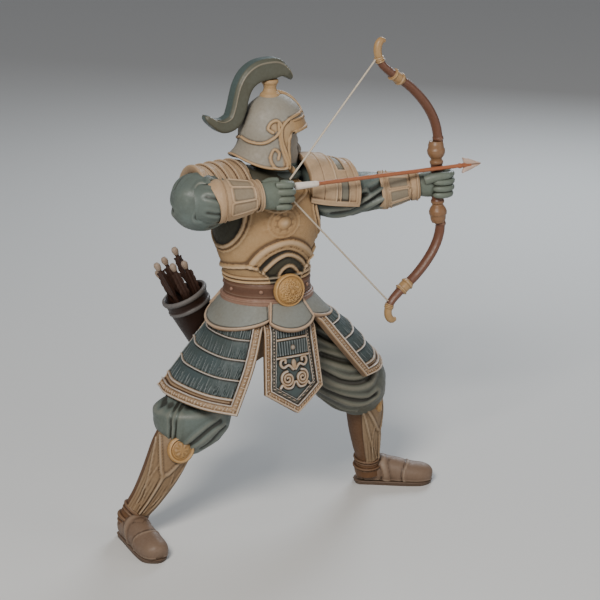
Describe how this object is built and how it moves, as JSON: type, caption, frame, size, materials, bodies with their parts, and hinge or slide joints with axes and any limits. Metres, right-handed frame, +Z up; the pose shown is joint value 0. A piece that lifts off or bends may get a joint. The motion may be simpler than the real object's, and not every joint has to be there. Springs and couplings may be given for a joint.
{
  "type": "archer statuette",
  "caption": "Painted cast statuette of an armoured archer at full draw, with bow, string, arrow and a quiver of arrows, standing on both boots.",
  "frame": {"origin": "on the floor, at the middle of the box that holds the whole statuette", "axes": "+X the way the arrow points, -Y the side the chest faces, +Z up"},
  "size_m": [0.3056, 0.1256, 0.3904],
  "materials": {
    "figure_paint": "matte aged paint over cast resin",
    "bow_paint": "satin dark red-brown paint",
    "string_paint": "matte paint",
    "arrow_paint": "matte terracotta paint",
    "quiver_paint": "matte dark brown paint",
    "stored_arrow_paint": "matte dark brown paint"
  },
  "bodies": {
    "root": {"figure": "figure_paint", "bow": "bow_paint", "bowstring": "string_paint", "arrow": "arrow_paint", "quiver": "quiver_paint", "quiver_arrow_1": "stored_arrow_paint", "quiver_arrow_2": "stored_arrow_paint", "quiver_arrow_3": "stored_arrow_paint", "quiver_arrow_4": "stored_arrow_paint", "quiver_arrow_5": "stored_arrow_paint", "quiver_arrow_6": "stored_arrow_paint"}
  },
  "joints": []
}
